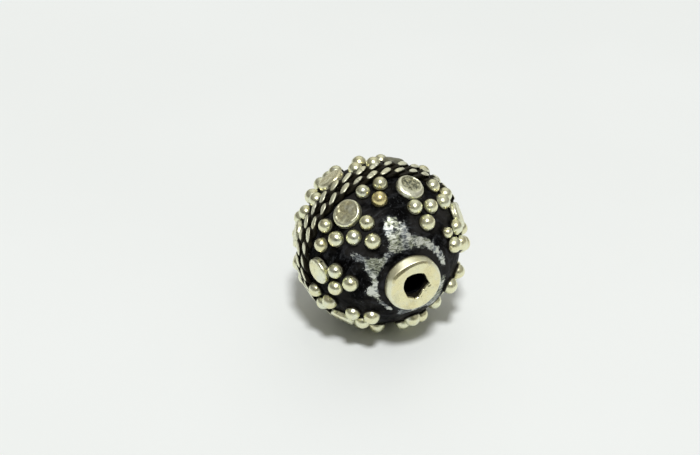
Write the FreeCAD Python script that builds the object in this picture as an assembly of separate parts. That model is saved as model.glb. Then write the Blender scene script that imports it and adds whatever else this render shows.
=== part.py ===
# A hollow granulated silver bead: two domed half shells, a collar at each end of the stringing
# hole, two twisted wire ropes over the seam, and rows of flat discs and granule triangles.
# Millimetres. The origin is the bead's centre, the stringing hole runs along Y with its front
# end towards -Y, and +Z is up.
import FreeCAD, Part
import math
import os

Vector = FreeCAD.Vector

# Half shells
shell_radius = 5.5
shell_wall = 0.35
seam_gap = 0.01

# Stringing hole and its collars
bore_radius = 0.86
hole_clearance = 0.05
collar_radius = 1.93
collar_rise = 0.42
collar_shoulder = 0.34
collar_lip_round = 0.1

# Ropes: two strands twisted together, one rope each side of the seam
strand_diameter = 0.33
strand_gap = 0.012
rope_rise = 0.14
rope_spacing = 0.248
rope_seat_gap = 0.014
strand_end_gap = 0.03
lay_angle = 28.5
arcs_per_turn = 4

# Granules and discs
granule_diameter = 1.02
granule_rise = 0.15
granule_gap = 0.28
granule_to_rope = 0.01
stray_diameter = 0.74
disc_diameter = 1.9
disc_height = 0.4
disc_dome = 0.05
disc_edge_round = 0.22
disc_to_rope = 0.27
disc_to_granule_gap = 0.1
unit_side_gap = 0.2
solder_gap = 0.01

# How the maker's hand set each unit, seen from the collar and counted anticlockwise from the top.
# A slip is a share of the angle from one unit to the next, a twist is a share of a right angle,
# a lift is a share of the gap between granules, and a size is a share of the full size.
front_phase_share = 0.712
back_phase_share = 0.585
disc_slip_shares = (0.018, -0.024, -0.04, 0.02, -0.02, 0.0, 0.008)
near_slip_shares = (0.025, 0.0, -0.07, 0.0, 0.0, -0.087, -0.143)
near_lift_shares = (0.3, 0.0, 1.1, 0.3, 0.2, 0.52, 0.2)
mid_slip_shares = (-0.055, 0.005, 0.0, 0.0, 0.03, -0.06, 0.028)
near_twist_shares = (-0.05, -0.02, 0.12, -0.12, -0.1, 0.07, -0.12)
mid_twist_shares = (-0.22, 0.0, 0.05, -0.05, 0.1, -0.01, -0.02)
near_size_shares = (1.05, 0.99, 0.98)
mid_size_shares = (1.04, 0.95, 0.97)
disc_size_shares = (1.0, 0.97, 0.95, 1.0, 0.96, 0.98, 1.0)
stray_slip_share = 0.26
front_lobe_share = 0.77
back_lobe_share = 0.19

# Sizes that follow
granule_path = shell_radius + granule_rise
seat_surface = shell_radius + solder_gap
strand_radius = strand_diameter / 2
twist_radius = (strand_diameter + strand_gap) / 2
rope_radius = twist_radius + strand_radius
rope_path = shell_radius + rope_rise
rope_offset = rope_radius + rope_spacing / 2
rope_turns = round(rope_path * math.tan(math.radians(lay_angle)) / twist_radius)
seat_half_width = rope_offset + rope_radius + rope_seat_gap
seat_radius = rope_path - rope_radius - rope_seat_gap
granule_radius = granule_diameter / 2
granule_pitch = granule_diameter + granule_gap
triangle_reach = granule_pitch / math.sqrt(3)
disc_radius = disc_diameter / 2

# Places of the rows, as arc lengths from the equator on the sphere of the granules' centres
rope_edge = rope_offset + rope_radius
disc_row = rope_edge + disc_to_rope + disc_radius
mid_foot = rope_edge + granule_to_rope + granule_radius
disc_to_granule = disc_radius + disc_to_granule_gap + granule_radius
near_row = disc_row + math.sqrt(disc_to_granule ** 2 - (granule_pitch / 2) ** 2) + triangle_reach / 2
disc_row_length = 2 * math.pi * granule_path * math.cos(disc_row / granule_path)
unit_length = disc_diameter + granule_pitch + granule_diameter + 2 * unit_side_gap
units = int(disc_row_length / unit_length)
unit_angle = 2 * math.pi / units


def share_of(shares, index):
    """One share of a table, read round and round."""
    return shares[index % len(shares)]


def turned(edges):
    """A solid turned about Z from a closed outline in the XZ plane."""
    outline = Part.Face(Part.Wire(edges))
    return outline.revolve(Vector(0, 0, 0), Vector(0, 0, 1), 360)


def line(start, end):
    return Part.LineSegment(start, end).toShape()


def point(across, up):
    """A point of an outline: its distance from the axis, and its height."""
    return Vector(across, 0, up)


def on_sphere(radius, across):
    """The point of a sphere's outline at a distance from the axis."""
    return point(across, math.sqrt(radius ** 2 - across ** 2))


def sphere_arc(radius, start_across, end_across):
    """The arc of a sphere's outline between two distances from the axis."""
    start_angle = math.asin(start_across / radius)
    end_angle = math.asin(end_across / radius)
    middle = radius * math.sin((start_angle + end_angle) / 2)
    return Part.Arc(on_sphere(radius, start_across), on_sphere(radius, middle),
                    on_sphere(radius, end_across)).toShape()


def round_corner(start, corner, end):
    """A quarter round between two points either side of a square corner."""
    centre = start + end - corner
    middle = centre + (corner - centre) / math.sqrt(2)
    return Part.Arc(start, middle, end).toShape()


def place(direction, side):
    """The placement that turns Z to a direction, on the front (-1) or the back (1) half."""
    towards = Vector(direction.x, side * direction.z, direction.y)
    return FreeCAD.Placement(Vector(0, 0, 0), FreeCAD.Rotation(Vector(0, 0, 1), towards))


def toward(arc_from_equator, turn):
    """A direction by its arc from the equator and its turn from the top, with Z to the pole."""
    rise = arc_from_equator / granule_path
    return Vector(-math.sin(turn) * math.cos(rise), math.cos(turn) * math.cos(rise), math.sin(rise))


def walk(direction, bearing, distance):
    """The direction reached by an arc length from another, at a bearing from the pole."""
    pole = Vector(0, 0, 1)
    to_pole = (pole - direction * direction.dot(pole)).normalize()
    along_turn = pole.cross(direction).normalize()
    heading = to_pole * math.cos(bearing) + along_turn * math.sin(bearing)
    swing = distance / granule_path
    return direction * math.cos(swing) + heading * math.sin(swing)


def half_shell():
    """A domed cap with its hole at the pole and a drawn-in seat for the rope at its rim."""
    hole = bore_radius + hole_clearance
    inner_radius = shell_radius - shell_wall
    seat_inner = seat_radius - shell_wall
    rim = seam_gap / 2
    shoulder = point(math.sqrt(shell_radius ** 2 - seat_half_width ** 2), seat_half_width)
    seat_top = point(seat_radius, seat_half_width)
    seat_bottom = point(seat_radius, rim)
    rim_inner = point(seat_inner, rim)
    bend = on_sphere(inner_radius, seat_inner)
    return turned([
        sphere_arc(shell_radius, hole, shoulder.x),
        line(shoulder, seat_top),
        line(seat_top, seat_bottom),
        line(seat_bottom, rim_inner),
        line(rim_inner, bend),
        sphere_arc(inner_radius, seat_inner, hole),
        line(on_sphere(inner_radius, hole), on_sphere(shell_radius, hole)),
    ])


def collar():
    """A ring with a rounded shoulder and lip that sits on the shell round the hole."""
    top = shell_radius + collar_rise
    flat = collar_radius - collar_shoulder
    base_outer = on_sphere(seat_surface, collar_radius)
    side_top = point(collar_radius, top - collar_shoulder)
    flat_outer = point(flat, top)
    flat_inner = point(bore_radius + collar_lip_round, top)
    bore_top = point(bore_radius, top - collar_lip_round)
    return turned([
        sphere_arc(seat_surface, bore_radius, collar_radius),
        line(base_outer, side_top),
        round_corner(side_top, point(collar_radius, top), flat_outer),
        line(flat_outer, flat_inner),
        round_corner(flat_inner, point(bore_radius, top), bore_top),
        line(bore_top, on_sphere(seat_surface, bore_radius)),
    ])


def granule(diameter):
    """A ball whose foot is cut to the shell."""
    radius = diameter / 2
    meet_height = (granule_path ** 2 + seat_surface ** 2 - radius ** 2) / (2 * granule_path)
    foot = math.sqrt(seat_surface ** 2 - meet_height ** 2)
    ball_angle = math.atan2(meet_height - granule_path, foot)
    half_way = (ball_angle + math.pi / 2) / 2
    middle = point(radius * math.cos(half_way), granule_path + radius * math.sin(half_way))
    crown = point(0, granule_path + radius)
    return turned([
        sphere_arc(seat_surface, 0, foot),
        Part.Arc(point(foot, meet_height), middle, crown).toShape(),
        line(crown, point(0, seat_surface)),
    ])


def disc(diameter):
    """A flattened granule: low, with a rounded edge and a slightly domed face."""
    radius = diameter / 2
    crown = point(0, shell_radius + disc_height)
    edge_top = crown.z - disc_dome
    face_radius = radius - disc_edge_round
    face_edge = point(face_radius, edge_top)
    side_top = point(radius, edge_top - disc_edge_round)
    dome_radius = (face_radius ** 2 + disc_dome ** 2) / (2 * disc_dome)
    half_face = face_radius / 2
    dome_drop = dome_radius - math.sqrt(dome_radius ** 2 - half_face ** 2)
    return turned([
        sphere_arc(seat_surface, 0, radius),
        line(on_sphere(seat_surface, radius), side_top),
        round_corner(side_top, point(radius, edge_top), face_edge),
        Part.Arc(face_edge, point(half_face, crown.z - dome_drop), crown).toShape(),
        line(crown, point(0, seat_surface)),
    ])


def bearings(twist):
    """The bearings of a triangle's three granules, the first one towards the collar."""
    return [twist + corner * 2 * math.pi / 3 for corner in range(3)]


def drop(twist):
    """How far a turned triangle's lowest granule lies below its centre."""
    return triangle_reach * max(-math.cos(bearing) for bearing in bearings(twist))


def triangle(row, turn, twist, size_shares, side):
    """Three granules about a centre."""
    centre = toward(row, turn)
    balls = []
    for bearing, size_share in zip(bearings(twist), size_shares):
        ball = granule(granule_diameter * size_share)
        ball.Placement = place(walk(centre, bearing, triangle_reach), side)
        balls.append(ball)
    return Part.makeCompound(balls)


def tangent_arc(start, tangent, end):
    """The arc that leaves a point along a tangent and ends at another point."""
    chord = end - start
    along = Vector(chord).normalize()
    half_angle = math.acos(min(1, tangent.dot(along))) / 2
    bulge = (tangent - along * tangent.dot(along)).normalize()
    middle = start + chord / 2 + bulge * (chord.Length / 2 * math.tan(half_angle))
    return Part.Arc(start, middle, end).toShape()


def biarc(start, start_tangent, end, end_tangent):
    """Two tangent arcs between two points with given tangents."""
    span = end - start
    both = start_tangent + end_tangent
    a = 2 * (1 - start_tangent.dot(end_tangent))
    b = 2 * span.dot(both)
    reach = (-b + math.sqrt(b * b + 4 * a * span.dot(span))) / (2 * a)
    first_corner = start + start_tangent * reach
    second_corner = end - end_tangent * reach
    joint = (first_corner + second_corner) / 2
    joint_tangent = (second_corner - first_corner).normalize()
    return [tangent_arc(start, start_tangent, joint), tangent_arc(joint, joint_tangent, end)]


def strand(offset, lobe_share, half_turn):
    """One wire of a rope: a tube that winds round the rope's circle, butted end to end."""
    lobe_angle = math.pi / rope_turns
    start_turn = lobe_share * lobe_angle + half_turn * lobe_angle

    def at(turn):
        wind = rope_turns * (turn - start_turn)
        distance = rope_path + twist_radius * math.cos(wind)
        height = offset - twist_radius * math.sin(wind)
        return Vector(-distance * math.sin(turn), height, distance * math.cos(turn))

    def tangent_at(turn):
        wind = rope_turns * (turn - start_turn)
        distance = rope_path + twist_radius * math.cos(wind)
        distance_rate = -twist_radius * rope_turns * math.sin(wind)
        height_rate = -twist_radius * rope_turns * math.cos(wind)
        rate = Vector(-distance_rate * math.sin(turn) - distance * math.cos(turn), height_rate,
                      distance_rate * math.cos(turn) - distance * math.sin(turn))
        return rate.normalize()

    end_trim = strand_end_gap / 2 / rope_path
    first = start_turn + end_trim
    last = start_turn + 2 * math.pi - end_trim
    spans = rope_turns * arcs_per_turn
    stations = [first + (last - first) * number / spans for number in range(spans + 1)]
    edges = []
    for here, there in zip(stations, stations[1:]):
        edges += biarc(at(here), tangent_at(here), at(there), tangent_at(there))
    section = Part.Wire(Part.Circle(at(first), tangent_at(first), strand_radius).toShape())
    return Part.Wire(edges).makePipeShell([section], True, False)


pieces = {}
halves = (("front", -1, front_phase_share, front_lobe_share),
          ("back", 1, back_phase_share, back_lobe_share))

for half, side, phase_share, lobe_share in halves:
    pole = place(Vector(0, 0, 1), side)
    shell = half_shell()
    shell.Placement = pole
    pieces[half + "_half_shell"] = shell
    ring = collar()
    ring.Placement = pole
    pieces[half + "_collar"] = ring
    pieces[half + "_rope_strand_a"] = strand(side * rope_offset, lobe_share, 0)
    pieces[half + "_rope_strand_b"] = strand(side * rope_offset, lobe_share, 1)
    for unit in range(units):
        label = str(unit + 1)
        unit_turn = (unit + phase_share) * unit_angle
        disc_turn = unit_turn + share_of(disc_slip_shares, unit) * unit_angle
        flat = disc(disc_diameter * share_of(disc_size_shares, unit))
        flat.Placement = place(toward(disc_row, disc_turn), side)
        pieces[half + "_disc_" + label] = flat
        near_turn = unit_turn + share_of(near_slip_shares, unit) * unit_angle
        near_twist = share_of(near_twist_shares, unit) * math.pi / 2
        near_arc = near_row + share_of(near_lift_shares, unit) * granule_gap
        near = triangle(near_arc, near_turn, near_twist, near_size_shares, side)
        pieces[half + "_near_granules_" + label] = near
        mid_turn = unit_turn + (share_of(mid_slip_shares, unit) + 1 / 2) * unit_angle
        mid_twist = share_of(mid_twist_shares, unit) * math.pi / 2
        mid = triangle(mid_foot + drop(mid_twist), mid_turn, mid_twist, mid_size_shares, side)
        pieces[half + "_mid_granules_" + label] = mid

stray = granule(stray_diameter)
stray_turn = (front_phase_share + stray_slip_share - 2) * unit_angle
stray.Placement = place(toward(near_row + triangle_reach, stray_turn), -1)
pieces["stray_granule"] = stray

os.makedirs("parts", exist_ok=True)
for name, shape in pieces.items():
    print(name, len(shape.Solids), "solid(s), volume", round(shape.Volume, 3), "valid", shape.isValid())
    shape.exportStep("parts/" + name + ".step")
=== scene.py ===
import bpy
import bmesh
import math
from mathutils import Matrix, Vector, noise
from mathutils.kdtree import KDTree


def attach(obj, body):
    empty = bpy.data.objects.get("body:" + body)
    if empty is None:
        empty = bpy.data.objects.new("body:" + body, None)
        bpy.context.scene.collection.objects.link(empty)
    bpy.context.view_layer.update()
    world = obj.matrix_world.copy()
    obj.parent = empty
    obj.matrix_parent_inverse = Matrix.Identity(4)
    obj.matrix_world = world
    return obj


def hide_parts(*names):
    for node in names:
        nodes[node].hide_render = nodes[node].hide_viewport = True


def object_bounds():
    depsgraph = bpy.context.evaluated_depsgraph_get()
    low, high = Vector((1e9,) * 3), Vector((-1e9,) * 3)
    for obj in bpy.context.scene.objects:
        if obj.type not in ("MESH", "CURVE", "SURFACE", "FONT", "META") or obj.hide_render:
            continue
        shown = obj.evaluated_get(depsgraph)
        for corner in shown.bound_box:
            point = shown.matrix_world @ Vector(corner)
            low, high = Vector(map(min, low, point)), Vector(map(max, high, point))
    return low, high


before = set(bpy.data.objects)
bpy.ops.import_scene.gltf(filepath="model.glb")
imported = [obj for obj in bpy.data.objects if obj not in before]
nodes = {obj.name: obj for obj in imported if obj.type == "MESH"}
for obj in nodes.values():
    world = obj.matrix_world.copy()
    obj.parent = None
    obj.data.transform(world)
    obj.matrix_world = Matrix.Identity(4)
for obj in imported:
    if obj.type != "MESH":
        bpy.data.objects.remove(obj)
cadBox = [list(corner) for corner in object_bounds()]
mm = 0.001
weld = 0.0002 * mm  # points of the CAD's meshes nearer than this are one
scene = bpy.context.scene
halves = {"front": -1, "back": 1}  # the side of the bead each half is on, along Y
unitNumbers = range(1, 8)


# where the CAD solids are

def solidsOf(node):
    # the points of each separate solid in a CAD node, in the order of the mesh
    work = bmesh.new()
    work.from_mesh(nodes[node].data)
    bmesh.ops.remove_doubles(work, verts=work.verts, dist=weld)
    work.verts.ensure_lookup_table()
    unseen = [True] * len(work.verts)
    found = []
    for first in range(len(work.verts)):
        if not unseen[first]:
            continue
        unseen[first] = False
        waiting, points = [work.verts[first]], []
        while waiting:
            vert = waiting.pop()
            points.append(vert.co.copy())
            for edge in vert.link_edges:
                other = edge.other_vert(vert)
                if unseen[other.index]:
                    unseen[other.index] = False
                    waiting.append(other)
        found.append(points)
    work.free()
    return found


def crownOf(points):
    # a ball's or a disc's highest point above the shell: its direction is the axis
    return max(points, key=lambda point: point.length)


def widthAbout(points, axis):
    return max((point - axis * point.dot(axis)).length for point in points)


granulePath = 5.65 * mm  # the balls' centres lie this far from the bead's centre
shellRadius = 5.5 * mm
balls, flats = {}, {}
for half in halves:
    for number in unitNumbers:
        for row in ("near", "mid"):
            name = f"{half}_{row}_granules_{number}"
            balls[name] = [crownOf(points) for points in solidsOf(name)]
        name = f"{half}_disc_{number}"
        points = solidsOf(name)[0]
        crown = crownOf(points)
        flats[name] = (crown, widthAbout(points, crown.normalized()))
balls["stray_granule"] = [crownOf(solidsOf("stray_granule")[0])]
print("read", sum(len(found) for found in balls.values()), "balls and", len(flats), "discs")


# making pieces

def axisMatrix(direction):
    # turns Z to a direction from the bead's centre
    return direction.to_track_quat("Z", "Y").to_matrix().to_4x4()


def finishPiece(bm, name, material, replaced):
    mesh = bpy.data.meshes.new(name)
    bm.to_mesh(mesh)
    bm.free()
    mesh.materials.append(material)
    mesh.shade_smooth()
    piece = bpy.data.objects.new(name, mesh)
    scene.collection.objects.link(piece)
    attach(piece, "root")
    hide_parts(*replaced)
    return piece


def smoothStep(low, high, value):
    share = min(1, max(0, (value - low) / (high - low)))
    return share * share * (3 - 2 * share)


def notUnder(least, share):
    # a share from 0 to 1, squeezed so that it starts at the least
    return least + (1 - least) * share


def tableAt(table, angle):
    # a value between the rows of a short table by angle, which closes on itself
    angle %= 360
    rows = table + [(table[0][0] + 360, table[0][1])]
    if angle < rows[0][0]:
        angle += 360
    for (here, first), (there, second) in zip(rows, rows[1:]):
        if here <= angle <= there:
            return first + (second - first) * smoothStep(here, there, angle)
    return rows[0][1]


def partWay(first, second, share):
    # a place in a profile, part of the way from one to another
    return tuple(start + (end - start) * share for start, end in zip(first, second))


def arcPoints(radius, start, end, steps):
    # points along an arc from one angle off the axis to another
    angles = [start + (end - start) * step / steps for step in range(steps + 1)]
    return [(radius * math.sin(angle), radius * math.cos(angle)) for angle in angles]


def cutLine(start, corners, parts):
    # points on from a start through corners, each stretch cut in equal parts
    points = []
    for corner in corners:
        points += [partWay(start, corner, part / parts) for part in range(1, parts + 1)]
        start = corner
    return points


def turnedRows(profile, steps):
    # the rows that a profile of distances from Z and heights makes as it turns once round Z
    angles = [2 * math.pi * step / steps for step in range(steps)]
    return [[(across * math.cos(angle), across * math.sin(angle), up) for across, up in profile]
            for angle in angles]


def closedGrid(bm, rows, ends=()):
    # faces between rows of points, from the last row to the first too: the rows close on
    # themselves, or run between two end points that they share
    made = [[bm.verts.new(place) for place in row] for row in rows]
    ends = [bm.verts.new(end) for end in ends]
    for row, following in zip(made, made[1:] + made[:1]):
        for here in range(len(row) - 1):
            bm.faces.new((row[here], row[here + 1], following[here + 1], following[here]))
        if ends:
            bm.faces.new((ends[0], row[0], following[0]))
            bm.faces.new((row[-1], ends[1], following[-1]))
        else:
            bm.faces.new((row[-1], row[0], following[0], following[-1]))
    bmesh.ops.recalc_face_normals(bm, faces=bm.faces)


def paint(piece, name, values):
    # one number for each vertex, for the material to read
    piece.data.attributes.new(name, "FLOAT", "POINT").data.foreach_set("value", values)


# materials

class Recipe:
    # a material's node tree, written one node a line; places on the bead are in millimetres
    def __init__(self, name):
        self.material = bpy.data.materials.new(name)
        self.material.use_nodes = True
        self.tree = self.material.node_tree
        self.shader = self.tree.nodes["Principled BSDF"]
        metres = self.add("ShaderNodeTexCoord").outputs["Object"]
        grow = self.add("ShaderNodeVectorMath", {"operation": "SCALE"}, Vector=metres, Scale=1 / mm)
        self.place = grow.outputs["Vector"]

    def add(self, kind, settings=None, **inputs):
        node = self.tree.nodes.new(kind)
        for key, value in (settings or {}).items():
            setattr(node, key, value)
        for key, value in inputs.items():
            self.fill(node, key, value)
        return node

    def fill(self, node, key, value):
        # a socket goes by its name, or by its number after an i
        numbered = key[0] == "i" and key[1:].isdigit()
        socket = node.inputs[int(key[1:]) if numbered else key]
        if isinstance(value, bpy.types.NodeSocket):
            self.tree.links.new(value, socket)
        else:
            socket.default_value = value

    def noise(self, scale, detail=3, roughness=0.5, distortion=0, place=None):
        made = self.add("ShaderNodeTexNoise", Vector=place or self.place, Scale=scale,
                        Detail=detail, Roughness=roughness, Distortion=distortion)
        return made.outputs["Fac"]

    def math(self, operation, first, second=0.0):
        made = self.add("ShaderNodeMath", {"operation": operation}, i0=first, i1=second)
        return made.outputs[0]

    def range(self, value, low, high, toLow=0.0, toHigh=1.0, smooth=True):
        kind = "SMOOTHSTEP" if smooth else "LINEAR"
        made = self.add("ShaderNodeMapRange", {"interpolation_type": kind}, i0=value, i1=low,
                        i2=high, i3=toLow, i4=toHigh)
        return made.outputs[0]

    def mixColour(self, share, first, second):
        made = self.add("ShaderNodeMix", {"data_type": "RGBA"}, i0=share, i6=first, i7=second)
        return made.outputs[2]

    def mixValue(self, share, first, second):
        made = self.add("ShaderNodeMix", {"data_type": "FLOAT"}, i0=share, i2=first, i3=second)
        return made.outputs[0]

    def depth(self, start):
        # how far a point lies from the bead's centre, its hole's axis or its middle plane
        kept = {"centre": (1, 1, 1), "hole axis": (1, 0, 1), "middle plane": (0, 1, 0)}[start]
        flat = self.add("ShaderNodeVectorMath", {"operation": "MULTIPLY"}, Vector=self.place,
                        i1=kept)
        length = self.add("ShaderNodeVectorMath", {"operation": "LENGTH"}, Vector=flat.outputs[0])
        return length.outputs["Value"]

    def turned(self, rotation, scale):
        # the place turned and stretched, for marks that run one way
        made = self.add("ShaderNodeMapping", Vector=self.place, Rotation=rotation, Scale=scale)
        return made.outputs[0]

    def shifted(self, shift):
        # the place moved, for a second noise that doesn't follow the first
        return self.add("ShaderNodeVectorMath", Vector=self.place, i1=shift).outputs[0]

    def attribute(self, name):
        return self.add("ShaderNodeAttribute", {"attribute_name": name}).outputs["Fac"]

    def bump(self, height, strength, distance):
        made = self.add("ShaderNodeBump", Strength=strength, Distance=distance, Height=height)
        return made.outputs["Normal"]

    def finish(self, **inputs):
        for key, value in inputs.items():
            self.fill(self.shader, key.replace("_", " "), value)
        return self.material


silverTones = {
    "bright": (0.855, 0.87, 0.63, 1),
    "warm": (0.83, 0.80, 0.52, 1),
    "cool": (0.80, 0.825, 0.68, 1),
    "gold": (0.82, 0.70, 0.34, 1),
    "rubbed": (0.92, 0.93, 0.76, 1),
    "black": (0.003, 0.003, 0.0035, 1),
    "brown": (0.026, 0.022, 0.012, 1),
    "tarnish": (0.36, 0.315, 0.16, 1),
    "greyed": (0.145, 0.155, 0.115, 1),
}
shellTones = {
    "black": (0.0003, 0.0003, 0.0004, 1),
    "sooty": (0.018, 0.017, 0.016, 1),
    "haze": (0.034, 0.036, 0.040, 1),
    "dull": (0.040, 0.043, 0.046, 1),
    "yellowish": (0.31, 0.335, 0.24, 1),
    "bluish": (0.265, 0.29, 0.305, 1),
    "gleaming": (0.70, 0.72, 0.66, 1),
}
paperTones = {
    "shaded": (0.822, 0.850, 0.850, 1),
    "plain": (0.836, 0.864, 0.866, 1),
}
silverBump, shellBump = 0.02 * mm, 0.03 * mm  # how high the bumps of the surface stand


def silverMaterial(name, look):
    # polished silver, left black where no polishing reached: low down, or far from the face
    made = Recipe(name)
    warmth, rubbed = made.attribute("warmth"), made.attribute("rubbed")
    ragged = made.math("SUBTRACT", made.noise(look["raggedScale"], 4), 0.5)
    ragged = made.math("MULTIPLY", ragged, look["ragged"])
    level = made.math("ADD", made.depth(look["from"]), ragged)
    clean = made.range(level, look["blackBelow"], look["cleanAbove"])
    pits = made.range(made.noise(look["stainScale"], 5, 0.65), look["stainFrom"], look["stainTo"])
    clean = made.math("MULTIPLY", clean, made.range(pits, 0, 1, 1, 1 - look["stainDepth"], False))
    clean = made.math("MULTIPLY", clean, made.math("SUBTRACT", 1, made.attribute("soot")))
    warmer = made.range(made.noise(0.9, 2), 0.35, 0.65)
    cooler = made.range(made.noise(1.7, 2, place=made.shifted((7, 3, 5))), 0.5, 0.75)
    tone = made.mixColour(warmer, silverTones["bright"], silverTones["warm"])
    tone = made.mixColour(cooler, tone, silverTones["cool"])
    tone = made.mixColour(made.range(warmth, 0.55, 1.2), tone, silverTones["gold"])
    mottle = made.range(made.noise(4.5, 6, 0.75, 0.7), 0.40, 0.58)
    mottle = made.range(mottle, 0, 1, 1.1, 0.2, False)
    tarnish = made.math("MULTIPLY", made.attribute("tarnish"), mottle)
    stained = made.range(warmth, 0, 0.5)
    stained = made.mixColour(stained, silverTones["greyed"], silverTones["tarnish"])
    tone = made.mixColour(tarnish, tone, stained)
    tone = made.mixColour(rubbed, tone, silverTones["rubbed"])
    dark = made.mixColour(made.noise(2.3, 2), silverTones["black"], silverTones["brown"])
    colour = made.mixColour(clean, dark, tone)
    rough = made.range(made.noise(6, 4, 0.6), 0.3, 0.7, *look["roughness"])
    rough = made.math("ADD", rough, made.math("MULTIPLY", tarnish, 0.15))
    rough = made.math("ADD", rough, made.math("MULTIPLY", rubbed, look["rubbedRough"]))
    rough = made.mixValue(clean, 0.45, rough)
    scratches = made.noise(1.6, 4, 0.6, place=made.turned((0.7, 0.4, 1.1), (2, 22, 7)))
    relief = made.math("ADD", made.math("MULTIPLY", scratches, 0.5), made.noise(11, 3, 0.6))
    normal = made.bump(relief, look["relief"], silverBump)
    return made.finish(Base_Color=colour, Metallic=clean, Roughness=rough, Normal=normal,
                       Specular_IOR_Level=0.1)


granuleSilver = silverMaterial("granuleSilver", {
    "from": "centre", "blackBelow": 5.61, "cleanAbove": 5.71,
    "ragged": 0.10, "raggedScale": 3.2,
    "stainScale": 2.6, "stainFrom": 0.62, "stainTo": 0.78, "stainDepth": 0.45,
    "roughness": (0.25, 0.40), "rubbedRough": 0, "relief": 0.12})
wireSilver = silverMaterial("wireSilver", {
    "from": "hole axis", "blackBelow": 5.875, "cleanAbove": 5.93,
    "ragged": 0.09, "raggedScale": 2.6,
    "stainScale": 2.4, "stainFrom": 0.56, "stainTo": 0.72, "stainDepth": 0.6,
    "roughness": (0.34, 0.50), "rubbedRough": 0.12, "relief": 0.35})
discSilver = silverMaterial("discSilver", {
    "from": "centre", "blackBelow": 5.54, "cleanAbove": 5.68,
    "ragged": 0.14, "raggedScale": 3.2,
    "stainScale": 3.4, "stainFrom": 0.52, "stainTo": 0.72, "stainDepth": 0.4,
    "roughness": (0.2, 0.40), "rubbedRough": 0.1, "relief": 0.3})
collarSilver = silverMaterial("collarSilver", {
    "from": "middle plane", "blackBelow": 5.20, "cleanAbove": 5.32,
    "ragged": 0.10, "raggedScale": 2.2,
    "stainScale": 1.3, "stainFrom": 0.48, "stainTo": 0.72, "stainDepth": 0.16,
    "roughness": (0.20, 0.32), "rubbedRough": 0.42, "relief": 0.12})


def shellMaterial():
    # blackened silver whose open places were scuffed bright when the bead was polished
    made = Recipe("shellBlackened")
    worn, lustre = made.attribute("worn"), made.attribute("lustre")
    ragged = made.math("SUBTRACT", made.noise(3.0, 8, 0.8, 0.6), 0.5)
    specks = made.math("SUBTRACT", made.noise(8.5, 4, 0.7, 0.4), 0.5)
    level = made.math("ADD", worn, made.math("MULTIPLY", ragged, 2.6))
    level = made.math("ADD", level, made.math("MULTIPLY", specks, 2.2))
    bright = made.range(level, 0.46, 0.82)
    haze = made.range(level, 0.16, 0.62)
    faint = made.noise(1.3, 7, 0.7, 0.5, place=made.turned((0.5, 0.2, 0.9), (0.5, 2.4, 1)))
    faint = made.range(faint, 0.50, 0.68, 0, 0.85)
    haze = made.math("MAXIMUM", haze, faint)
    strokes = made.noise(2.6, 5, 0.62, 1.0, place=made.turned((0.2, 0.9, 0.3), (1, 1, 2.6)))
    strokes = made.math("SUBTRACT", strokes, 0.5)
    shine = made.math("ADD", lustre, made.math("MULTIPLY", strokes, 3.9))
    tint = made.range(made.noise(0.8, 2), 0.40, 0.60)
    metal = made.mixColour(tint, shellTones["yellowish"], shellTones["bluish"])
    metal = made.mixColour(made.range(shine, 0.0, 0.5), shellTones["dull"], metal)
    metal = made.mixColour(made.range(shine, 0.45, 1.0), metal, shellTones["gleaming"])
    patchy = made.range(made.noise(0.55, 4, 0.6), 0.42, 0.62)
    colour = made.mixColour(patchy, shellTones["black"], shellTones["sooty"])
    colour = made.mixColour(haze, colour, shellTones["haze"])
    colour = made.mixColour(bright, colour, metal)
    rough = made.range(made.noise(4, 4), 0.3, 0.7, 0.42, 0.62)
    rough = made.mixValue(bright, rough, 0.52)
    relief = made.math("ADD", made.noise(5, 5, 0.6), made.math("MULTIPLY", made.noise(16, 3), 0.5))
    normal = made.bump(relief, 0.35, shellBump)
    metallic = made.math("MULTIPLY", bright, 0.8)
    return made.finish(Base_Color=colour, Metallic=metallic, Roughness=rough, Normal=normal,
                       IOR=1.1)


shellBlackened = shellMaterial()
print("materials made")


# granules

granuleLook = {
    "subdivisions": 4,
    "grow": 1.02,  # a little over the CAD's balls, for the skin of polish that rounds them
    "lump": 0.035, "lumpScale": 1.1,  # share of the radius that a ball is out of round
    "footFlare": 0.035 * mm,  # how far the solder spreads at a ball's foot
    "footHeight": 0.15 * mm,
    "sunk": 0.04 * mm,  # the foot ends this far inside the shell
    "warmth": (0.5, 0.35),  # the middle tone and how far single balls stray from it
    "warmest": {("front_mid_granules_7", 0): 1.05},  # one ball of the photo is golden
}


def shapeGranule(bm, crown):
    # adds a ball whose lumps differ with the place of its crown, and tells how many points it has
    axis = crown.normalized()
    look = granuleLook
    radius = (crown.length - granulePath) * look["grow"]
    made = bmesh.ops.create_icosphere(bm, subdivisions=look["subdivisions"], radius=radius,
                                      matrix=Matrix.Translation(axis * granulePath))
    footLevel = shellRadius - look["sunk"]
    for vert in made["verts"]:
        outward = (vert.co - axis * granulePath) / radius
        lump = look["lump"] * noise.noise(outward * look["lumpScale"] + crown * 2000)
        vert.co += outward * radius * lump
        up = vert.co.dot(axis)
        side = vert.co - axis * up
        if up < granulePath:
            low = min(1, (granulePath - up) / look["footHeight"])
            reach = radius + look["footFlare"] * low * low
            if up > footLevel:
                side *= reach / max(side.length, 1e-9)
            vert.co = axis * max(up, footLevel) + side
    return len(made["verts"])


for name, crowns in balls.items():
    bm = bmesh.new()
    warmth = []
    for number, crown in enumerate(crowns):
        count = shapeGranule(bm, crown)
        middle, strays = granuleLook["warmth"]
        own = middle + strays * noise.noise(crown * 5000)
        warmth += [granuleLook["warmest"].get((name, number), own)] * count
    bmesh.ops.recalc_face_normals(bm, faces=bm.faces)
    piece = finishPiece(bm, "soldered_" + name, granuleSilver, [name])
    paint(piece, "warmth", warmth)
print("granules made")


# discs

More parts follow.
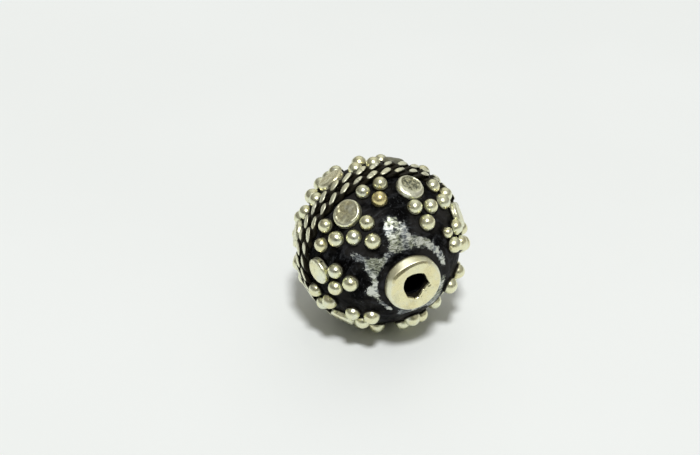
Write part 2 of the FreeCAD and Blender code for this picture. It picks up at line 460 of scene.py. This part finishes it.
discLook = {
    "segments": 72, "edgeDrop": 0.20 * mm, "sunk": 0.04 * mm, "footWider": 1.03, "footInner": 0.5,
    "rings": (0.12, 0.24, 0.36, 0.46, 0.55, 0.63, 0.70, 0.76, 0.81, 0.86, 0.90, 0.94, 0.97, 0.99,
              1.0),
    "underBevel": 0.02 * mm,  # the wall below the bevel starts this far under it
    "level": 0.01 * mm,  # points this near the top are the face's or the bevel's
    "faceFrom": (0.7, 1.15),  # where the bevel gives way to the face, in bevel widths from the rim
    "dents": ((2.4, 1), (4.8, 0.6), (9.5, 0.35)),  # the hammer's marks: scale and share
    "bevelDents": 0.35, "bevelTarnish": 0.15,  # the bevel's share of the face's dents and tarnish
    "outline": 0.05, "outlineScale": 1.3,  # share of the width that a rim is out of round
    "pivot": 0.1,  # a sloping disc tips about a line this share of its width off its middle
}
discHabit = {
    "tarnish": 0.12, "hammer": 0.022, "dish": 0.015, "bevel": 0.19, "wider": 0.2, "lean": 80,
    "rubbed": 0.3, "warmth": 0.3, "soot": 0, "oval": 1, "ovalAt": 0, "slope": 0,
}
discHabits = {  # how single discs came out; bevel widths in millimetres, angles round the face
    "front_disc_1": discHabit | {
        "tarnish": 0.32, "hammer": 0.042, "dish": 0.03, "bevel": 0.20, "wider": 0.3, "lean": 250,
        "rubbed": 0.5, "warmth": 0.66, "oval": 1.06, "ovalAt": 63},
    "front_disc_2": discHabit | {
        "tarnish": 0.02, "dish": -0.02, "lean": 90, "rubbed": 0.2, "oval": 0.85, "ovalAt": 225,
        "slope": 0.10},
    "front_disc_7": discHabit | {
        "tarnish": 1.15, "hammer": 0.055, "dish": 0.07, "bevel": 0.31, "wider": 0.75, "lean": 205,
        "rubbed": 0.75, "warmth": 0},
    "back_disc_1": discHabit | {"tarnish": 0.04, "hammer": 0.012, "dish": 0, "warmth": 0.8},
    "back_disc_7": discHabit | {
        "bevel": 0.42, "wider": 0.1, "rubbed": 0, "soot": 0.8, "oval": 0.74},
}


def shapeDisc(crown, width, habit):
    # the finished disc, and how tarnished and how rubbed each of its points is
    look = discLook
    bm = bmesh.new()
    top, foot = crown.length, shellRadius - look["sunk"]
    belowBevel = top - look["edgeDrop"] - look["underBevel"]
    profile = [(width * share, top) for share in look["rings"]]
    profile += [(width, (belowBevel + foot) / 2), (width * look["footWider"], foot),
                (width * look["footInner"], foot)]
    closedGrid(bm, turnedRows(profile, look["segments"]), [(0, 0, top), (0, 0, foot)])
    tarnish, rubbed = [], []
    ovalAt, lean = math.radians(habit["ovalAt"]), math.radians(habit["lean"])
    longest = Vector((math.cos(ovalAt), math.sin(ovalAt), 0))
    for vert in bm.verts:
        across = Vector((vert.co.x, vert.co.y, 0))
        reach = across.length
        angle = math.atan2(across.y, across.x) - lean
        bevel = habit["bevel"] * mm * (1 + habit["wider"] * math.cos(angle))
        onFace = 0
        if vert.co.z > top - look["level"]:
            inward = width - reach
            if inward < bevel:
                rise = math.sqrt(max(0, 1 - (1 - inward / bevel) ** 2))
                vert.co.z -= look["edgeDrop"] * (1 - rise)
            onFace = smoothStep(*look["faceFrom"], inward / bevel)
            place = vert.co * 1000 + crown * 900
            dents = sum(share * noise.noise(place * scale) for scale, share in look["dents"])
            dents *= habit["hammer"] * notUnder(look["bevelDents"], onFace)
            vert.co.z += (dents - habit["dish"] * onFace) * mm
        tarnish.append(habit["tarnish"] * notUnder(look["bevelTarnish"], onFace))
        rubbed.append(habit["rubbed"] * (1 - onFace))
        if reach:
            outline = noise.noise(across.normalized() * look["outlineScale"] + crown * 1500)
            vert.co.x *= 1 + look["outline"] * outline
            vert.co.y *= 1 + look["outline"] * outline
        along = vert.co.dot(longest)
        if vert.co.z > belowBevel:
            vert.co.z -= habit["slope"] * (along - look["pivot"] * width)
        vert.co += longest * along * (habit["oval"] - 1)
    bmesh.ops.transform(bm, matrix=axisMatrix(crown.normalized()), verts=bm.verts)
    bmesh.ops.recalc_face_normals(bm, faces=bm.faces)
    return bm, tarnish, rubbed


for name, (crown, width) in flats.items():
    habit = discHabits.get(name, discHabit)
    bm, tarnish, rubbed = shapeDisc(crown, width, habit)
    piece = finishPiece(bm, "hammered_" + name, discSilver, [name])
    paint(piece, "tarnish", tarnish)
    paint(piece, "rubbed", rubbed)
    for key in ("warmth", "soot"):
        paint(piece, key, [habit[key]] * len(rubbed))
print("discs made")


# collars

collarLook = {  # in millimetres: reaches from the hole's axis, levels from the middle plane
    "inner": 0.86, "outer": 1.94, "face": 5.92, "shoulder": 0.36, "lip": 0.07,
    "segments": 216, "steps": {"lip": 9, "face": 14, "shoulder": 17, "bend": 8},
    "boreLevels": (5.40, 5.55, 5.68, 5.76),  # the rings inside the hole
    "footLevels": (5.3, 5.1), "footUnder": 0.02,  # the rings outside, under the shoulder's end
    "bed": (1.4, 5.2),  # the ring that the shell hides
    "lipReach": (0.9, 1.3), "lipLevels": (5.2, 5.86),  # the ragged edge fades away and sets in
    "lumps": 0.014, "lumpScale": 2.2, "lumpReach": (1.3, 1.9),
    "dents": ((1.6, 0.014), (5.2, 0.006)), "dentsAbove": 5.25,
    "burr": 0.07, "burrAt": 1.08, "burrWidth": 0.08, "burrTurns": (192, 268), "burrFades": 12,
    "burrAbove": 5.8,
    "crest": (0.2, 0.47),  # the share of the way over the shoulder where it is rubbed bright
    "rubbed": 0.8, "rubbedVaries": 0.4, "rubbedScale": 2.1,
    "warmth": 0.80, "sootLevels": (5.78, 5.86), "sootReach": (0.96, 1.1),
}
facetLook = {  # the upper left of the shoulder, hammered to a slope with a crease along its top
    "turns": (-62, 0, 54, 76),  # it opens, is full, fades and closes
    "middle": 27, "start": 1.53, "startSlant": 0.45, "startInside": 0.12,
    "crease": 0.23, "creaseTilt": 27,
    "creaseWidth": (0.75, 0.35), "creaseTurns": (-20, 62),  # its least share and what it gains
    "foot": 1.97, "footOutside": 0.03, "footHeight": 5.33,
    "crestLater": 0.18, "crestLess": 0.4,  # the rubbed crest lies further out and is fainter
    # a darker tarnish stain along the crease, partly tarnish and partly painted shade
    "creaseStainAndShade": 0.5, "creaseDarkOver": (0, 0.1), "creaseDarkEnds": (0.3, 0.5),
}
lipTable = [  # how far the hole's ragged edge stands back, by turn
    (0, 0.09), (24, 0.12), (36, 0.155), (48, 0.11), (60, 0.08), (72, 0.02), (84, -0.01),
    (100, -0.04), (120, -0.06), (132, -0.01), (144, 0.05), (156, 0.01), (168, 0.04), (175, 0.08),
    (178, 0.20), (182, 0.12), (192, 0.10), (204, -0.05), (216, -0.12), (228, -0.20),
    (240, -0.13), (252, -0.09), (264, 0.06), (272, 0.15), (278, 0.08), (288, 0.035), (300, 0.05),
    (312, 0.10), (324, 0.155), (336, 0.12), (350, 0.10),
]


def hammeredAt(turn):
    # how much of the hammered slope the collar has at a turn
    opens, full, fades, closes = facetLook["turns"]
    turn = (turn + 180) % 360 - 180
    return smoothStep(opens, full, turn) * (1 - smoothStep(fades, closes, turn))


def collarSection(turn):
    # the collar's profile at a turn, from the bore to the bed: distances from the axis, heights
    # and shares of the way over the shoulder
    look, facet, steps = collarLook, facetLook, collarLook["steps"]
    inner, outer, face = look["inner"], look["outer"], look["face"]
    shoulder, lip = look["shoulder"], look["lip"]
    quarter, hammered = math.pi / 2, hammeredAt(turn)
    turn = (turn + 180) % 360 - 180
    off = turn - facet["middle"]
    slant = math.sin(math.radians(off)) ** 2 if abs(off) < 90 else 1
    start = min(facet["start"] + facet["startSlant"] * slant, outer - facet["startInside"])
    edge = (outer - shoulder) + (start - outer + shoulder) * hammered
    least, gained = facet["creaseWidth"]
    broad = facet["crease"] * (least + gained * smoothStep(*facet["creaseTurns"], turn))
    bend = (start + broad, face - broad * math.tan(math.radians(facet["creaseTilt"])))
    foot = (max(facet["foot"], bend[0] + facet["footOutside"]), facet["footHeight"])
    section = [(inner, height, 0) for height in look["boreLevels"]]
    for step in range(steps["lip"] + 1):
        angle = quarter * step / steps["lip"]
        out, down = lip * (1 - math.cos(angle)), lip * (1 - math.sin(angle))
        section.append((inner + out, face - down, 0))
    flat = edge - inner - lip
    for step in range(1, steps["face"]):
        section.append((inner + lip + flat * step / steps["face"], face, 0))
    for step in range(steps["shoulder"] + 1):
        share = step / steps["shoulder"]
        angle = quarter * share
        back, down = shoulder * (1 - math.sin(angle)), shoulder * (1 - math.cos(angle))
        if step < steps["bend"]:
            sloped = partWay((start, face), bend, step / steps["bend"])
        else:
            beyond = (step - steps["bend"]) / (steps["shoulder"] - steps["bend"])
            sloped = partWay(bend, foot, beyond)
        section.append((*partWay((outer - back, face - down), sloped, hammered), share))
    reach = outer + (foot[0] - outer) * hammered
    upper, lower = look["footLevels"]
    upper = min(section[-1][1] - look["footUnder"], upper)
    return section + [(reach, upper, 0), (reach, lower, 0), (*look["bed"], 0)]


def shapeCollar(side):
    # the collar, and how rubbed, sooty and tarnished each of its points is; its tarnish lies in the
    # hammered crease and darkens it, partly tarnish and partly painted shade
    look, facet = collarLook, facetLook
    bm = bmesh.new()
    rows, rubbed, soot, tarnish = [], [], [], []
    opens, closes = look["burrTurns"]
    crestFrom, crestTo = look["crest"]
    for number in range(look["segments"]):
        turn = 360 * number / look["segments"]
        outward = Vector((math.sin(math.radians(turn)) * side, 0, math.cos(math.radians(turn))))
        hammered, lip = hammeredAt(turn), tableAt(lipTable, turn)
        burr = smoothStep(opens, opens + look["burrFades"], turn)
        burr *= look["burr"] * (1 - smoothStep(closes - look["burrFades"], closes, turn))
        lump = look["lumps"] * noise.noise(outward * look["lumpScale"] + Vector((0, side, 0)))
        row = []
        for reach, height, over in collarSection(turn):
            shift = lip * (1 - smoothStep(*look["lipReach"], reach))
            shift *= smoothStep(*look["lipLevels"], height)
            shift += lump * smoothStep(*look["lumpReach"], reach)
            if height > look["burrAbove"]:
                height += burr * math.exp(-((reach - look["burrAt"]) / look["burrWidth"]) ** 2)
            place = outward * (reach + shift) + Vector((0, side * height, 0))
            dent = 0
            if height > look["dentsAbove"]:
                dent = sum(depth * noise.noise(place * scale) for scale, depth in look["dents"])
            row.append((place + Vector((0, side * dent, 0))) * mm)
            deep = 1 - smoothStep(*look["sootLevels"], abs(place.y))
            soot.append(deep * (1 - smoothStep(*look["sootReach"], reach)))
            crest = smoothStep(crestFrom + facet["crestLater"] * hammered, crestTo, over)
            crest *= 1 - facet["crestLess"] * hammered
            varies = look["rubbedVaries"] * noise.noise(place * look["rubbedScale"])
            rubbed.append(crest * (look["rubbed"] + varies))
            # the crease is stained darker: a tarnish tone that also paints shade into the crease
            crease = smoothStep(*facet["creaseDarkOver"], over)
            crease *= 1 - smoothStep(*facet["creaseDarkEnds"], over)
            tarnish.append(facet["creaseStainAndShade"] * hammered * crease)
        rows.append(row)
    closedGrid(bm, rows)
    return bm, rubbed, soot, tarnish


for half, side in halves.items():
    name = half + "_collar"
    bm, rubbed, soot, tarnish = shapeCollar(side)
    piece = finishPiece(bm, "worn_" + name, collarSilver, [name])
    paint(piece, "rubbed", rubbed)
    paint(piece, "soot", soot)
    # the crease's darker tarnish, partly painted shade
    paint(piece, "tarnish", tarnish)
    paint(piece, "warmth", [collarLook["warmth"]] * len(rubbed))
print("collars made")


# ropes: the CAD's strands, uneven and worn on their crowns

ropeLook = {  # distances from the hole's axis are in millimetres
    "uneven": 0.03 * mm, "unevenScale": 2300,
    "swell": 0.03 * mm, "swellOver": (5.76, 5.90), "swellVaries": 2.2, "swellScale": 950,
    "slip": 0.07 * mm, "slipScale": 700, "slipLayer": Vector((0, 0, 9)),
    "middle": 0.46 * mm, "spread": 0.28, "spreadOver": (5.66, 5.86),
    "wornAbove": 5.93, "wornTo": 0.4,
    "rubbed": 0.675, "rubbedOver": (5.86, 5.93), "rubbedScale": 700,
}


def shapeStrand(node):
    # one strand, and how rubbed each of its points is
    look = ropeLook
    bm = bmesh.new()
    bm.from_mesh(nodes[node].data)
    bmesh.ops.remove_doubles(bm, verts=bm.verts, dist=weld)
    bm.normal_update()
    rubbed = []
    for vert in bm.verts:
        crown = smoothStep(*look["swellOver"], math.hypot(vert.co.x, vert.co.z) / mm)
        varies = look["swellVaries"] * noise.noise(vert.co * look["swellScale"])
        swell = look["swell"] * crown * (1 + varies)
        slip = noise.noise(vert.co * look["slipScale"] + look["slipLayer"])
        slip *= look["slip"] * crown
        lump = look["uneven"] * noise.noise(vert.co * look["unevenScale"])
        vert.co += vert.normal * (lump + swell) + Vector((0, slip, 0))
        across = Vector((vert.co.x, 0, vert.co.z))
        away = across.length / mm
        middle = math.copysign(look["middle"], vert.co.y)
        spread = look["spread"] * smoothStep(*look["spreadOver"], away)
        vert.co.y = middle + (vert.co.y - middle) * (1 + spread)
        over = away - look["wornAbove"]
        if over > 0:
            vert.co -= across.normalized() * over * mm * (1 - look["wornTo"])
        worn = look["rubbed"] * smoothStep(*look["rubbedOver"], away)
        rubbed.append(worn * (1 + noise.noise(vert.co * look["rubbedScale"])))
    return bm, rubbed


for half in halves:
    for strand in "ab":
        name = f"{half}_rope_strand_{strand}"
        bm, rubbed = shapeStrand(name)
        piece = finishPiece(bm, "twisted_" + name, wireSilver, [name])
        paint(piece, "rubbed", rubbed)
print("ropes made")


# half shells

shellLook = {
    "wall": 0.35 * mm, "hole": 0.91 * mm, "rim": 0.005 * mm,
    "seatHalf": 0.81 * mm, "seatRadius": 5.29 * mm,  # the seat of the ropes round the middle
    "rings": 104, "seatParts": 3, "innerRings": 24, "segments": 288,
    "uneven": 0.016 * mm, "unevenScale": 900, "unevenSunk": 0.4, "skin": 0.02 * mm,
}
wornEdge = [  # the scuffed ground's outline round the front collar: turn, angle from the axis
    (12.4, 51.5), (16.9, 49.7), (21.8, 44.5), (22.8, 37.3), (24, 33.6), (32.3, 31), (43, 30.2),
    (54, 37.5), (57, 46.8), (60.3, 50), (63.4, 46.2), (59.7, 38.3), (66.3, 37.6), (74.7, 31.4),
    (84.4, 28.4), (91.3, 31), (97, 34), (103.4, 32.6), (113.4, 27.8), (139, 27.3), (149, 28.1),
    (147.7, 24.5), (119.4, 25.3), (102.5, 25.4), (86.7, 24.1), (72, 26.8), (58.8, 26.6),
    (47.1, 26.3), (36.9, 27.5), (20.7, 27.2), (0, 25.9), (338.7, 26.6), (321.3, 26.5),
    (303.7, 24.8), (282.2, 26.1), (278, 29.2), (285.6, 30.7), (300.1, 30.2), (320.2, 32.3),
    (332.4, 32.7), (348.2, 33.8), (356.8, 37.2), (358.2, 44.8), (6, 45.7), (7.1, 50),
]
hiddenEdge = [  # the same on the side away from the photo, guessed
    (160, 26), (185, 25), (215, 26), (240, 25), (262, 26), (258, 31), (240, 33), (226, 42),
    (216, 46), (209, 41), (205, 33), (186, 30), (172, 33), (163, 30),
]
brightSpots = [  # where the scuffs are brightest: turn, angle from the axis, reach, strength
    (12, 49, 3.5, 0.1), (19, 45, 4, 0.1), (21, 39, 4, 0.12), (22, 34, 3, 0.12), (2, 42, 3, 0.35),
    (357, 33, 4, 0.3), (342, 30, 5, 0.55), (326, 29, 5, 0.6), (308, 28, 4, 0.65),
    (288, 28.5, 4, 0.75), (280, 28, 3, 0.6), (72, 29, 3, 0.45), (86, 26.5, 3.5, 0.5),
    (97, 30, 5, 0.9), (105, 28, 3, 0.5), (147, 26, 4.5, 1.0), (50, 29, 3, 0.2), (216, 42, 4, 0.6),
    (190, 28, 4, 0.5), (245, 29, 4, 0.6),
]
wornLook = {
    "edge": 0.55, "soft": 2.8,  # how worn the outline is, and in how many degrees that fades
    "warp": 1.5, "warpLayers": (0, 40),  # degrees that noise shifts the outlines by, and its layers
    "warpWaves": ((0.35, 1, 0), (0.9, 0.5, 5)),  # the noise's scale, share and further layer
    "dull": 0.44, "spotFade": (0.2, 1.3),
    "skin": 0.1 * mm, "band": (1.9, 4.6), "toCollar": (2.16, 2.46), "toPieces": (0.05, 0.2),
    "neighbours": 4,
}
backTurn = 147.8  # the back half was scuffed alike, turned by this much


def halfShell(side):
    # the outside from the hole to the ropes' seat, the seat, the rim and the inside, turned
    look = shellLook
    bm = bmesh.new()
    inside, seat, rim = shellRadius - look["wall"], look["seatRadius"], look["rim"]
    seatInner = seat - look["wall"]
    start, end = math.asin(look["hole"] / shellRadius), math.acos(look["seatHalf"] / shellRadius)
    profile = arcPoints(shellRadius, start, end, look["rings"])
    corners = [(seat, look["seatHalf"]), (seat, rim), (seatInner, rim)]
    profile += cutLine(profile[-1], corners, look["seatParts"])
    start, end = math.asin(seatInner / inside), math.asin(look["hole"] / inside)
    profile += arcPoints(inside, start, end, look["innerRings"])
    closedGrid(bm, turnedRows(profile, look["segments"]))
    bmesh.ops.transform(bm, matrix=axisMatrix(Vector((0, side, 0))), verts=bm.verts)
    for vert in bm.verts:
        if vert.co.length > shellRadius - look["skin"]:
            uneven = noise.noise(vert.co * look["unevenScale"]) - look["unevenSunk"]
            vert.co *= 1 + look["uneven"] * uneven / shellRadius
    bmesh.ops.recalc_face_normals(bm, faces=bm.faces)
    return bm


def flatPlace(turn, polar):
    # a place on the bead laid flat: degrees from the hole, to the left and up
    return math.sin(math.radians(turn)) * polar, math.cos(math.radians(turn)) * polar


def warped(x, y):
    # a flat place shifted by noise, so that the scuffs' outlines run unevenly
    shifts = []
    for layer in wornLook["warpLayers"]:
        waves = [share * noise.noise((x * scale, y * scale, layer + further))
                 for scale, share, further in wornLook["warpWaves"]]
        shifts.append(sum(waves) * wornLook["warp"])
    return x + shifts[0], y + shifts[1]


def insideBy(x, y, outline):
    # how far a flat place lies inside an outline, negative outside
    nearest, inside = 1e9, False
    for (startX, startY), (endX, endY) in zip(outline, outline[1:] + outline[:1]):
        alongX, alongY, awayX, awayY = endX - startX, endY - startY, x - startX, y - startY
        share = (awayX * alongX + awayY * alongY) / (alongX ** 2 + alongY ** 2)
        share = max(0, min(1, share))
        nearest = min(nearest, math.hypot(awayX - alongX * share, awayY - alongY * share))
        if (startY > y) != (endY > y) and x < startX + alongX * awayY / alongY:
            inside = not inside
    return nearest if inside else -nearest


def shineAt(x, y, spots):
    # how bright a worn place is: dull, or more where a bright spot reaches
    reached = []
    for (spotX, spotY), reach, strength in spots:
        fade = smoothStep(*wornLook["spotFade"], math.hypot(x - spotX, y - spotY) / reach)
        reached.append(strength * (1 - fade))
    return wornLook["dull"] + max(reached)


def scuff(piece, side):
    # paints how worn and how bright each point of a half shell is
    look = wornLook
    raised = [(crown, crown.length - granulePath) for crowns in balls.values() for crown in crowns]
    raised += flats.values()
    raised = [(crown.normalized() * shellRadius, reach) for crown, reach in raised
              if crown.y * side > 0]
    tree = KDTree(len(raised))
    for number, (place, reach) in enumerate(raised):
        tree.insert(place, number)
    tree.balance()
    edges = [[flatPlace(*corner) for corner in outline] for outline in (wornEdge, hiddenEdge)]
    spots = [(flatPlace(turn, polar), reach, strength)
             for turn, polar, reach, strength in brightSpots]
    bandStart, bandEnd = look["band"]
    worn, lustre = [], []
    for vert in piece.data.vertices:
        across = math.hypot(vert.co.x, vert.co.z) / mm
        amount = shine = 0
        if vert.co.length > shellRadius - look["skin"] and bandStart < across < bandEnd:
            turn = math.degrees(math.atan2(-vert.co.x, vert.co.z)) - (backTurn if side > 0 else 0)
            polar = math.degrees(math.asin(min(1, across * mm / vert.co.length)))
            x, y = warped(*flatPlace(turn, polar))
            inside = max(insideBy(x, y, outline) for outline in edges)
            amount = max(0, min(1, look["edge"] + inside / look["soft"]))
            if amount:
                nearest = tree.find_n(vert.co, look["neighbours"])
                clear = min(away - raised[number][1] for place, number, away in nearest) / mm
                amount *= smoothStep(*look["toPieces"], clear)
                amount *= smoothStep(*look["toCollar"], across)
                shine = shineAt(x, y, spots)
        worn.append(amount)
        lustre.append(shine)
    paint(piece, "worn", worn)
    paint(piece, "lustre", lustre)


for half, side in halves.items():
    name = half + "_half_shell"
    bm = halfShell(side)
    piece = finishPiece(bm, "blackened_" + name, shellBlackened, [name])
    scuff(piece, side)
print("half shells made")


# floor, light and camera

def paperMaterial():
    made = Recipe("whitePaper")
    made.tree.nodes.remove(made.shader)
    patches = made.range(made.noise(0.03, 3), 0.35, 0.65)
    colour = made.mixColour(patches, paperTones["shaded"], paperTones["plain"])
    made.shader = made.add("ShaderNodeBsdfDiffuse", Color=colour)
    output = made.tree.nodes["Material Output"]
    made.tree.links.new(made.shader.outputs[0], output.inputs["Surface"])
    return made.material


floorMesh = bpy.data.meshes.new("floor")
bm = bmesh.new()
bmesh.ops.create_grid(bm, x_segments=1, y_segments=1, size=1.5)
bmesh.ops.translate(bm, verts=bm.verts, vec=(0, 0, cadBox[0][2]))
bm.to_mesh(floorMesh)
bm.free()
floorMesh.materials.append(paperMaterial())
floor = bpy.data.objects.new("floor", floorMesh)
scene.collection.objects.link(floor)

photoView = {
    "azimuth": -23.68, "elevation": 32.14, "distance": 130 * mm,
    "frameWidth": 47.93 * mm,  # what the picture's width spans at the bead's centre
    "sensor": 36, "beadAt": (379.8, 242.7), "picture": (700, 455),
}


def backVector(azimuth, elevation):
    a, e = math.radians(azimuth), math.radians(elevation)
    return Vector((math.sin(a) * math.cos(e), -math.cos(a) * math.cos(e), math.sin(e)))


towardCamera = backVector(photoView["azimuth"], photoView["elevation"])
pictureWidth, pictureHeight = photoView["picture"]
beadX, beadY = photoView["beadAt"]
cameraData = bpy.data.cameras.new("camera")
cameraData.sensor_width = photoView["sensor"]
cameraData.lens = photoView["sensor"] * photoView["distance"] / photoView["frameWidth"]
cameraData.shift_x = (pictureWidth / 2 - beadX) / pictureWidth
cameraData.shift_y = (beadY - pictureHeight / 2) / pictureWidth
cameraData.clip_start, cameraData.clip_end = 0.005, 10
camera = bpy.data.objects.new("camera", cameraData)
camera.location = towardCamera * photoView["distance"]
camera.rotation_mode = "QUATERNION"
camera.rotation_quaternion = (-towardCamera).to_track_quat("-Z", "Y")
scene.collection.objects.link(camera)
scene.camera = camera

keyLamp = {"azimuth": -16, "elevation": 64, "distance": 1.8, "size": 0.30, "power": 24.0}
lampData = bpy.data.lights.new("keyLamp", "AREA")
lampData.shape, lampData.size, lampData.energy = "DISK", keyLamp["size"], keyLamp["power"]
lamp = bpy.data.objects.new("keyLamp", lampData)
towardLamp = backVector(keyLamp["azimuth"], keyLamp["elevation"])
lamp.location = towardLamp * keyLamp["distance"]
lamp.rotation_mode = "QUATERNION"
lamp.rotation_quaternion = towardLamp.to_track_quat("Z", "Y")
scene.collection.objects.link(lamp)

room = {
    "bands": (  # the light round the bead by the sine of its elevation, from the table to overhead
        (0.0, (0.38, 0.355, 0.31, 1)), (0.10, (0.25, 0.235, 0.20, 1)),
        (0.20, (0.20, 0.19, 0.16, 1)), (0.40, (0.30, 0.29, 0.26, 1)),
        (0.62, (0.36, 0.35, 0.325, 1)), (1.0, (0.34, 0.33, 0.31, 1))),
    # the dark in front and the light behind: colour, how far off it starts and is full, elevation
    "observer": (0.09, 0.09, 0.068, 1), "observerEdge": (0.72, 0.965), "observerHeight": 13,
    "window": (0.84, 0.83, 0.77, 1), "windowEdge": (0.76, 0.95), "windowHeight": 46,
    "sides": (0.74, 1.10),  # how bright the room is on the camera's left and right
    "sideEdge": (-0.9, 0.9),
}


def roomLight():
    world = bpy.data.worlds.new("room")
    world.use_nodes = True
    tree = world.node_tree

    def node(kind, *links, **settings):
        # a node with its settings, and with values or other nodes' outputs in numbered sockets
        made = tree.nodes.new(kind)
        for key, value in settings.items():
            setattr(made, key, value)
        for source, socket in links:
            if isinstance(source, bpy.types.NodeSocket):
                tree.links.new(source, made.inputs[socket])
            else:
                made.inputs[socket].default_value = source
        return made

    place = node("ShaderNodeTexCoord").outputs["Generated"]

    def facing(azimuth, elevation):
        # how nearly a part of the room lies toward a direction, as a cosine
        toward = backVector(photoView["azimuth"] + azimuth, elevation)
        made = node("ShaderNodeVectorMath", (place, 0), (toward, 1), operation="DOT_PRODUCT")
        return made.outputs["Value"]

    def softStep(*ends):
        # the value, its low and its high, and what they become where that isn't 0 and 1
        links = [(end, socket) for socket, end in enumerate(ends)]
        return node("ShaderNodeMapRange", *links, interpolation_type="SMOOTHSTEP").outputs[0]

    rise = node("ShaderNodeSeparateXYZ", (place, 0)).outputs["Z"]
    light = node("ShaderNodeValToRGB", (rise, 0))
    bands = light.color_ramp.elements
    while len(bands) < len(room["bands"]):
        bands.new(1)
    for band, (height, colour) in zip(bands, room["bands"]):
        band.position, band.color = height, colour
    colour = light.outputs[0]
    for name, azimuth in (("observer", 0), ("window", 180)):
        share = softStep(facing(azimuth, room[name + "Height"]), *room[name + "Edge"])
        mix = node("ShaderNodeMix", (share, 0), (colour, 6), (room[name], 7), data_type="RGBA")
        colour = mix.outputs[2]
    strength = softStep(facing(90, 0), *room["sideEdge"], *room["sides"])
    tree.links.new(colour, tree.nodes["Background"].inputs["Color"])
    tree.links.new(strength, tree.nodes["Background"].inputs["Strength"])
    scene.world = world


roomLight()
scene.view_settings.view_transform = "Standard"
print("floor, light and camera set")
